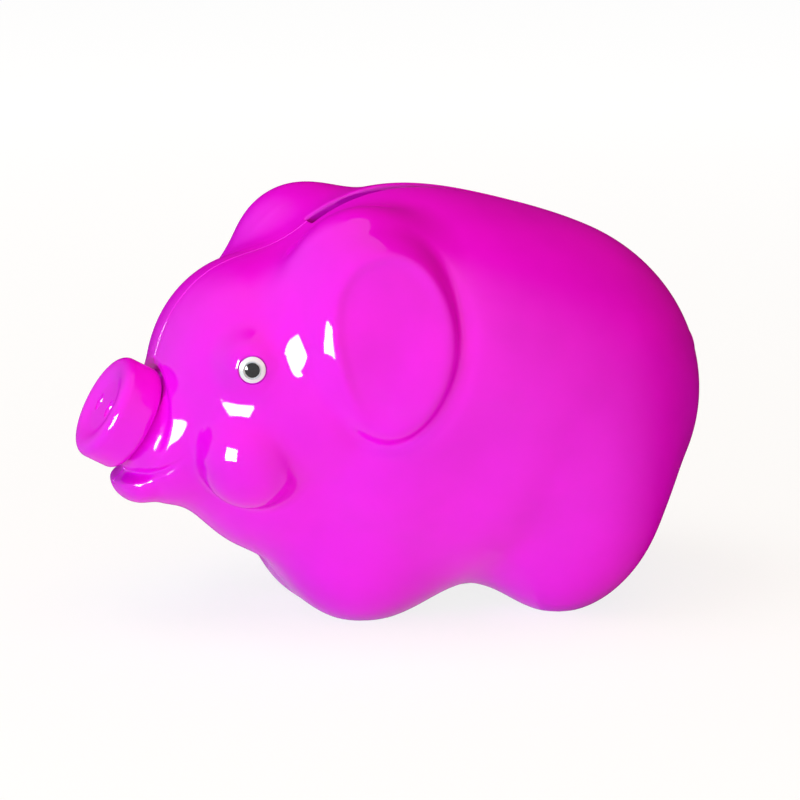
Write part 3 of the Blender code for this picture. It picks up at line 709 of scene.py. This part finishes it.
def tail_curl(root):
    """Rod bent along the curl, thinner towards its tip."""
    curve = bpy.data.curves.new("tail_curl", "CURVE")
    curve.dimensions = "3D"
    curve.bevel_depth = TAIL_ROD
    curve.bevel_resolution = TAIL_BEVEL_STEPS
    curve.use_fill_caps = True
    spline = curve.splines.new("POLY")
    spline.points.add(TAIL_POINTS)
    share = np.linspace(0.0, 1.0, TAIL_POINTS + 1)
    for point, place, along in zip(spline.points, tail_route(root, share), share):
        point.co = (*place, 1.0)
        point.radius = 1.0 - TAIL_TAPER_SHARE * along ** 3
    bent = bpy.data.objects.new("tail_curl", curve)
    bpy.context.scene.collection.objects.link(bent)
    bpy.context.view_layer.update()
    mesh = bpy.data.meshes.new_from_object(bent.evaluated_get(bpy.context.evaluated_depsgraph_get()))
    bpy.data.objects.remove(bent)
    bm = bmesh.new()
    bm.from_mesh(mesh)
    bmesh.ops.remove_doubles(bm, verts=bm.verts, dist=TAIL_WELD)
    return new_object("curled_tail", bm)


def build_tail(surface):
    """Curl with a peg into the rump, and a hub that joins the two."""
    root = tail_frame()
    tail = tail_curl(root)
    end = root @ Vector((0.0, 0.0, TAIL_LIFT))
    peg = rod("tail_peg", root @ Vector((0.0, 0.0, -TAIL_PEG_LENGTH)), end, TAIL_PEG_RADIUS, PEG_STEPS)
    hub = rod("tail_hub", end, root @ Vector((0.0, TAIL_INNER, TAIL_LIFT)), TAIL_ROD, PEG_STEPS)
    cut(tail, peg, "UNION")
    cut(tail, hub, "UNION")
    settle(tail, (peg, hub))
    smooth(tail)
    dress(tail, "tail", "bank", surface)


def build_plug(surface):
    """Soft stopper: a flange, a cup-shaped neck with a bead, and a bar to grip in a round recess."""
    hole = PLUG_HOLE_RADIUS - SEAT_GAP
    neck = hole - PLUG_BEAD
    top = PLUG_FLANGE + PLUG_NECK
    floor = PLUG_GRIP_DEPTH + PLUG_WALL
    inside = neck - PLUG_WALL
    soft = PLUG_BEAD
    profile = [(0.0, floor), (inside - soft, floor), (inside, floor + soft), (inside, top - soft)]
    profile += arc((inside + soft, top - soft), soft, 180.0, 90.0)
    profile += [(neck, top)]
    profile += arc((neck, top - 2.0 * soft), soft, PLUG_BEAD_ANGLE, -PLUG_BEAD_ANGLE)
    profile += [(neck, PLUG_FLANGE + soft / 2.0), (neck + soft / 2.0, PLUG_FLANGE)]
    profile += arc((PLUG_FLANGE_RADIUS - soft, PLUG_FLANGE - soft), soft, 90.0, 0.0)
    profile += arc((PLUG_FLANGE_RADIUS - soft, soft), soft, 0.0, -90.0)
    profile += arc((PLUG_GRIP_RADIUS + soft, soft), soft, -90.0, -180.0)
    profile += arc((PLUG_GRIP_RADIUS - soft, PLUG_GRIP_DEPTH - soft), soft, 0.0, 90.0)
    profile += [(0.0, PLUG_GRIP_DEPTH)]
    place = Matrix.Translation((PLUG_AT_X, 0.0, plug_face()))
    plug = turned("belly_stopper", profile, place)
    half = PLUG_GRIP_BAR / 2.0
    long = PLUG_GRIP_RADIUS + soft
    bar = box("plug_bar", (-half, -long, soft), (half, long, floor - soft))
    bar.data.transform(place)
    cut(plug, bar, "UNION")
    settle(plug, (bar,))
    smooth(plug)
    dress(plug, "belly_plug", "plug", surface)


# Materials. The noises' scales are per metre, and their shares multiply the colour and the roughness.
MAGENTA = {
    "colour": (0.88, 0.004, 0.80), "roughness": 0.30, "coat": 0.4, "wave": 0.00008, "grain": 0.000001,
}
WHITE = {"colour": (0.86, 0.86, 0.86), "roughness": 0.15}
BLACK = {"colour": (0.010, 0.010, 0.012), "roughness": 0.08}
VINYL = {"colour": (0.78, 0.76, 0.74), "roughness": 0.45, "grain": 0.00001}
SPECULAR = 0.5
COAT_IOR = 1.65
COAT_ROUGHNESS = 0.03
NOISE_SPAN = (0.3, 0.7)
TINT_SCALE = 60.0
TINT_DETAIL = 3.0
TINT_SHARES = (0.94, 1.03)
GLOSS_SCALE = 180.0
GLOSS_DETAIL = 4.0
GLOSS_SHARES = (0.75, 1.3)
WAVE_SCALE = 110.0
WAVE_DETAIL = 1.0
GRAIN_SCALE = 2200.0
GRAIN_DETAIL = 2.0


def noise(tree, place, scale, detail):
    """Noise over a place, from 0 to 1."""
    made = tree.nodes.new("ShaderNodeTexNoise")
    made.inputs["Scale"].default_value = scale
    made.inputs["Detail"].default_value = detail
    tree.links.new(place, made.inputs["Vector"])
    return made.outputs["Fac"]


def remap(tree, value, to_span, from_span=(0.0, 1.0)):
    """Value carried from one span to another, and held at the ends."""
    made = tree.nodes.new("ShaderNodeMapRange")
    for word, number in zip(("From Min", "From Max", "To Min", "To Max"), (*from_span, *to_span)):
        made.inputs[word].default_value = number
    tree.links.new(value, made.inputs["Value"])
    return made.outputs["Result"]


def combine(tree, operation, first, second):
    """Result of an operation on two values."""
    made = tree.nodes.new("ShaderNodeMath")
    made.operation = operation
    tree.links.new(first, made.inputs[0])
    tree.links.new(second, made.inputs[1])
    return made.outputs["Value"]


def bump(tree, height, depth):
    """Relief of the given depth."""
    made = tree.nodes.new("ShaderNodeBump")
    made.inputs["Strength"].default_value = 1.0
    made.inputs["Distance"].default_value = depth
    tree.links.new(height, made.inputs["Height"])
    return made


def plastic(name, colour, roughness, coat=0.0, wave=0.0, grain=0.0):
    """Moulded plastic: colour that drifts a little, uneven gloss, slow waves and a fine grain."""
    made = bpy.data.materials.new(name)
    made.use_nodes = True
    tree = made.node_tree
    shader = tree.nodes["Principled BSDF"]
    shader.inputs["Specular IOR Level"].default_value = SPECULAR if coat == 0.0 else 0.0
    shader.inputs["Coat Weight"].default_value = coat
    shader.inputs["Coat IOR"].default_value = COAT_IOR
    shader.inputs["Coat Roughness"].default_value = COAT_ROUGHNESS
    place = tree.nodes.new("ShaderNodeTexCoord").outputs["Object"]

    drift = noise(tree, place, TINT_SCALE, TINT_DETAIL)
    tint = tree.nodes.new("ShaderNodeValToRGB")
    for number, (at, share) in enumerate(zip(NOISE_SPAN, TINT_SHARES)):
        stop = tint.color_ramp.elements[number]
        stop.position = at
        stop.color = (*[min(1.0, channel * share) for channel in colour], 1.0)
    tree.links.new(drift, tint.inputs["Fac"])
    tree.links.new(tint.outputs["Color"], shader.inputs["Base Color"])

    patches = noise(tree, place, GLOSS_SCALE, GLOSS_DETAIL)
    gloss = remap(tree, patches, [roughness * share for share in GLOSS_SHARES], NOISE_SPAN)
    tree.links.new(gloss, shader.inputs["Roughness"])

    slow = bump(tree, noise(tree, place, WAVE_SCALE, WAVE_DETAIL), wave)
    fine = bump(tree, noise(tree, place, GRAIN_SCALE, GRAIN_DETAIL), grain)
    tree.links.new(slow.outputs["Normal"], fine.inputs["Normal"])
    tree.links.new(fine.outputs["Normal"], shader.inputs["Normal"])
    return made


# Camera, with its bearing in degrees. The pixel is where the look-at point lies in the picture.
LOOK_AT = Vector((-0.0020, 0.0, 0.0420))
CAMERA_AZIMUTH = -20.0
CAMERA_ELEVATION = 12.0
CAMERA_DISTANCE = 0.600
CAMERA_NEAR = 0.01
CAMERA_FAR = 20.0
PICTURE = 800.0
PIXELS_PER_METRE = 5200.0
LOOK_PIXEL = (385.0, 386.0)
SENSOR = 36.0

# Lamps: name, azimuth and elevation in degrees, distance, size, radiance and colour.
# The soft lamps light the pig and aren't mirrored in it. The window is only mirrored.
LAMP_AIM = Vector((0.0, 0.0, 0.04))
SOFT_LAMPS = (
    ("key", -55.0, 4.0, 0.9, (0.9, 0.3), 6.3, (0.58, 0.79, 1.0)),
    ("sky", -95.0, 60.0, 0.9, (0.6, 0.6), 3.0, (0.73, 0.86, 1.0)),
    ("top", -20.0, 75.0, 0.9, (0.9, 0.9), 1.95, (1.0, 0.64, 0.28)),
    ("low", 0.0, 3.0, 0.5, (0.5, 0.12), 3.4, (1.0, 0.93, 0.87)),
)
WINDOW = ("window", -64.0, 7.0, 0.8, (0.38, 0.42), 48.0, (1.0, 1.0, 1.0))

# Stage. The flag's turns are azimuths in degrees and its profile has (radius, height) corners.
ROOM_LIGHT = 0.05
FLOOR_HALF_SIZE = 4.0
FLOOR_WHITE = 0.9
FLOOR_LIFT_NEAR = 0.83
FLOOR_LIFT_FAR = 0.96
FLOOR_FAR = 0.8
FLOOR_SHADE_SHARE = 0.22
FLAG_FROM = 10.0
FLAG_FULL_FROM = 80.0
FLAG_FULL_TO = 190.0
FLAG_TO = 250.0
FLAG_STEPS = 60
FLAG_COLOUR = (0.02, 0.02, 0.02, 1.0)
FLAG_ROUGHNESS = 0.9
FLAG_PROFILE = (
    (0.030, 0.0005), (0.110, 0.0005), (0.150, 0.020), (0.170, 0.060), (0.180, 0.120), (0.170, 0.200),
    (0.130, 0.270), (0.070, 0.310),
)


def bearing(azimuth, elevation):
    """Direction towards an azimuth and elevation in degrees; azimuth 0 is -Y and 90 is +X."""
    a, e = math.radians(azimuth), math.radians(elevation)
    return Vector((math.sin(a) * math.cos(e), -math.cos(a) * math.cos(e), math.sin(e)))


def build_camera():
    """Camera from the photograph's side."""
    data = bpy.data.cameras.new("camera")
    camera = bpy.data.objects.new("camera", data)
    bpy.context.scene.collection.objects.link(camera)
    back = bearing(CAMERA_AZIMUTH, CAMERA_ELEVATION)
    camera.location = LOOK_AT + back * CAMERA_DISTANCE
    camera.rotation_mode = "QUATERNION"
    camera.rotation_quaternion = (-back).to_track_quat("-Z", "Y")
    data.sensor_width = SENSOR
    data.lens = PIXELS_PER_METRE * CAMERA_DISTANCE / PICTURE * SENSOR
    data.shift_x = (PICTURE / 2.0 - LOOK_PIXEL[0]) / PICTURE
    data.shift_y = (LOOK_PIXEL[1] - PICTURE / 2.0) / PICTURE
    data.clip_start = CAMERA_NEAR
    data.clip_end = CAMERA_FAR
    bpy.context.scene.camera = camera


def area_light(name, azimuth, elevation, distance, size, radiance, colour, glossy=True, diffuse=True):
    """Soft box facing the pig; its radiance is in units where 1 is a white surface in full light."""
    data = bpy.data.lights.new(name, "AREA")
    data.shape = "RECTANGLE"
    data.size, data.size_y = size
    data.energy = radiance * math.pi * size[0] * size[1]
    data.color = colour
    lamp = bpy.data.objects.new(name, data)
    bpy.context.scene.collection.objects.link(lamp)
    out = bearing(azimuth, elevation)
    lamp.location = LAMP_AIM + out * distance
    lamp.rotation_mode = "QUATERNION"
    lamp.rotation_quaternion = (-out).to_track_quat("-Z", "Y")
    lamp.visible_glossy = glossy
    lamp.visible_diffuse = diffuse
    lamp.visible_camera = False


def build_lights():
    """Every lamp of the studio."""
    for lamp in SOFT_LAMPS:
        area_light(*lamp, glossy=False)
    area_light(*WINDOW, diffuse=False)


def seen_directly(tree):
    """1 for rays from the camera, and for those mirrored or passed on by the object."""
    path = tree.nodes.new("ShaderNodeLightPath")
    seen = combine(tree, "MAXIMUM", path.outputs["Is Camera Ray"], path.outputs["Is Glossy Ray"])
    return combine(tree, "MAXIMUM", seen, path.outputs["Is Transmission Ray"])


def build_world():
    """Room that is white where it is seen or mirrored, and sheds little light of its own."""
    world = bpy.data.worlds.new("studio")
    bpy.context.scene.world = world
    world.use_nodes = True
    tree = world.node_tree
    background = tree.nodes["Background"]
    background.inputs["Color"].default_value = (1.0, 1.0, 1.0, 1.0)
    strength = remap(tree, seen_directly(tree), (ROOM_LIGHT, 1.0))
    tree.links.new(strength, background.inputs["Strength"])


def build_flag():
    """Dark hood round the right side and the rear, seen only in the gloss.

    With it the far edges keep their colour. Its sides fade out, so that no edge of it is drawn in the gloss.
    """
    bm = bmesh.new()
    rows = []
    turns = np.linspace(FLAG_FROM, FLAG_TO, FLAG_STEPS + 1)
    for turn in turns:
        out = bearing(turn, 0.0)
        places = [out * radius + Vector((0.0, 0.0, height)) for radius, height in FLAG_PROFILE]
        rows.append([bm.verts.new(place) for place in places])
    for first, second in zip(rows, rows[1:]):
        for low in range(len(FLAG_PROFILE) - 1):
            bm.faces.new((first[low], second[low], second[low + 1], first[low + 1]))
    flag = new_object("flag", bm)
    cover = flag.data.attributes.new("cover", "FLOAT", "POINT")
    turns = np.repeat(turns, len(FLAG_PROFILE))
    share = ramp(FLAG_FROM, FLAG_FULL_FROM, turns) * (1.0 - ramp(FLAG_FULL_TO, FLAG_TO, turns))
    cover.data.foreach_set("value", share)

    made = bpy.data.materials.new("black_cloth")
    made.use_nodes = True
    tree = made.node_tree
    shader = tree.nodes["Principled BSDF"]
    shader.inputs["Base Color"].default_value = FLAG_COLOUR
    shader.inputs["Roughness"].default_value = FLAG_ROUGHNESS
    shader.inputs["Specular IOR Level"].default_value = 0.0
    thread = tree.nodes.new("ShaderNodeAttribute")
    thread.attribute_name = "cover"
    tree.links.new(thread.outputs["Fac"], shader.inputs["Alpha"])
    flag.data.materials.append(made)
    flag.visible_camera = False
    flag.visible_diffuse = False
    flag.visible_transmission = False
    flag.visible_shadow = False


def build_floor():
    """Pale floor that keeps the pig's shadow. It is clear from below, so that the belly can be seen."""
    bm = bmesh.new()
    bmesh.ops.create_grid(bm, x_segments=1, y_segments=1, size=FLOOR_HALF_SIZE)
    floor = new_object("floor", bm)
    made = bpy.data.materials.new("pale_floor")
    made.use_nodes = True
    tree = made.node_tree
    tree.nodes.remove(tree.nodes["Principled BSDF"])
    seen = seen_directly(tree)

    matte = tree.nodes.new("ShaderNodeBsdfDiffuse")
    shade = remap(tree, seen, (FLOOR_WHITE, FLOOR_WHITE * FLOOR_SHADE_SHARE))
    tree.links.new(shade, matte.inputs["Color"])

    place = tree.nodes.new("ShaderNodeTexCoord")
    away = tree.nodes.new("ShaderNodeVectorMath")
    away.operation = "LENGTH"
    tree.links.new(place.outputs["Object"], away.inputs[0])
    lift = remap(tree, away.outputs["Value"], (FLOOR_LIFT_NEAR, FLOOR_LIFT_FAR), (0.0, FLOOR_FAR))
    glow = tree.nodes.new("ShaderNodeEmission")
    tree.links.new(combine(tree, "MULTIPLY", lift, seen), glow.inputs["Strength"])

    pale = tree.nodes.new("ShaderNodeAddShader")
    tree.links.new(matte.outputs["BSDF"], pale.inputs[0])
    tree.links.new(glow.outputs["Emission"], pale.inputs[1])
    side = tree.nodes.new("ShaderNodeNewGeometry")
    clear = tree.nodes.new("ShaderNodeBsdfTransparent")
    mix = tree.nodes.new("ShaderNodeMixShader")
    tree.links.new(side.outputs["Backfacing"], mix.inputs["Fac"])
    tree.links.new(pale.outputs["Shader"], mix.inputs[1])
    tree.links.new(clear.outputs["BSDF"], mix.inputs[2])
    tree.links.new(mix.outputs["Shader"], tree.nodes["Material Output"].inputs["Surface"])
    floor.data.materials.append(made)


def main():
    """Every piece of the bank, the stage, the lamps and the camera."""
    bpy.context.scene.view_settings.view_transform = "Standard"
    magenta = plastic("magenta_plastic", **MAGENTA)
    white = plastic("white_plastic", **WHITE)
    black = plastic("black_plastic", **BLACK)
    vinyl = plastic("soft_vinyl", **VINYL)
    build_shells(magenta)
    build_snout(magenta)
    for word, side in SIDES:
        build_eye(word, side, white, black)
    build_tail(magenta)
    build_plug(vinyl)
    build_world()
    build_lights()
    build_flag()
    build_floor()
    build_camera()


main()
